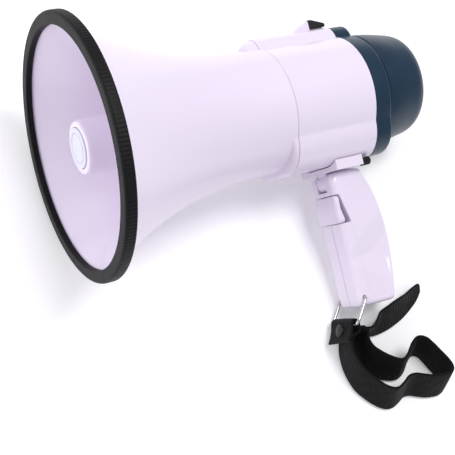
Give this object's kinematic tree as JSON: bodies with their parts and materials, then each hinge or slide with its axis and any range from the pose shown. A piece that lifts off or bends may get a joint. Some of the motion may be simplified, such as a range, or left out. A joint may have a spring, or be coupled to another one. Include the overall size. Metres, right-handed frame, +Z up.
{
  "type": "handheld megaphone",
  "caption": "Handheld megaphone with a flared horn, a folding pistol handle with a trigger, a microphone hood at the rear and a webbing wrist strap, lying on its side.",
  "frame": {"origin": "centre of the footprint of the whole object on the surface it lies on, strap included", "axes": "+Z up from the surface; the horn's mouth faces -Y and its rear +Y, with the horn axis sloping down 11.7 degrees to the rear; +X is the side on which the handle and its strap lie"},
  "size_m": [0.2806, 0.2506, 0.1557],
  "materials": {
    "white_abs": "moulded white ABS with a faint lilac tint, satin gloss",
    "pale_blue_abs": "pale blue-grey moulded disc",
    "teal_abs": "dark petrol-blue moulded ABS, satin",
    "black_rubber": "soft black rubber with fine ribs",
    "black_plastic": "black moulded plastic",
    "plated_steel": "bright plated steel wire and fasteners",
    "zinc_plate": "zinc plated mild steel",
    "ferrite": "dark sintered ferrite",
    "copper_wire": "enamelled copper wire",
    "phenolic": "brown phenolic film",
    "cell_wrap": "plain dark shrink sleeve, unmarked",
    "circuit_board": "green circuit board",
    "foam": "open-cell black foam",
    "grille_mesh": "black punched steel mesh",
    "nylon_webbing": "black woven nylon webbing"
  },
  "bodies": {
    "housing": {"horn_bell": "white_abs", "rear_housing": "white_abs", "hinge_block": "white_abs", "reflex_cup": "white_abs", "throat_tube": "white_abs", "cup_spider": "white_abs", "driver_baffle": "white_abs", "cup_face": "pale_blue_abs", "mouth_bumper": "black_rubber", "driver_gasket": "black_rubber", "strap_lug": "black_plastic", "battery_tray": "black_plastic", "board_chip_1": "black_plastic", "board_chip_2": "black_plastic", "board_chip_3": "black_plastic", "hinge_pin": "plated_steel", "contact_spring_1": "plated_steel", "contact_spring_2": "plated_steel", "contact_spring_3": "plated_steel", "contact_spring_4": "plated_steel", "top_plate": "zinc_plate", "yoke": "zinc_plate", "volume_pot": "zinc_plate", "magnet": "ferrite", "voice_coil": "copper_wire", "driver_diaphragm": "phenolic", "battery_cell_1": "cell_wrap", "battery_cell_2": "cell_wrap", "battery_cell_3": "cell_wrap", "battery_cell_4": "cell_wrap", "amplifier_board": "circuit_board"},
    "rear_cover": {"rear_cap": "teal_abs", "mic_hood": "teal_abs", "mic_bezel": "black_plastic", "mic_capsule": "zinc_plate", "mic_foam": "foam", "mic_grille": "grille_mesh"},
    "knob": {"volume_knob": "black_plastic"},
    "handle": {"handle_left": "white_abs", "handle_right": "white_abs", "handle_screw_1": "plated_steel", "handle_screw_2": "plated_steel", "handle_screw_3": "plated_steel", "trigger_pin": "plated_steel", "trigger_spring": "plated_steel", "trigger_switch": "black_plastic"},
    "trigger_lever": {"trigger": "white_abs"},
    "bail_and_strap": {"wire_bail": "plated_steel", "wrist_strap": "nylon_webbing", "strap_tail": "nylon_webbing", "strap_snap": "black_plastic"}
  },
  "joints": [
    {"name": "handle_fold", "type": "hinge", "parent": "housing", "child": "handle", "pos_m": [-0.00915, 0.04891, 0.03349], "axis": [-0.2264, -0.1978, -0.9537], "range_deg": [0, 78]},
    {"name": "trigger_pull", "type": "hinge", "parent": "handle", "child": "trigger_lever", "pos_m": [0.00156, 0.04576, 0.0316], "axis": [0.2264, 0.1978, 0.9537], "range_deg": [0, 6], "stiffness_Nm_per_rad": 0.05, "springref_deg": -11.46},
    {"name": "volume_turn", "type": "hinge", "parent": "housing", "child": "knob", "pos_m": [-0.01334, -0.10713, 0.08624], "axis": [0, 0.9792, -0.2031], "range_deg": [0, 270]},
    {"name": "bail_swing", "type": "hinge", "parent": "handle", "child": "bail_and_strap", "pos_m": [0.0639, 0.04252, 0.01747], "axis": [0.2264, 0.1978, 0.9537], "range_deg": [-6, 9]},
    {"name": "cap_slide", "type": "slide", "parent": "housing", "child": "rear_cover", "axis": [0, 0.9792, -0.2031], "range_m": [0, 0.06]}
  ]
}
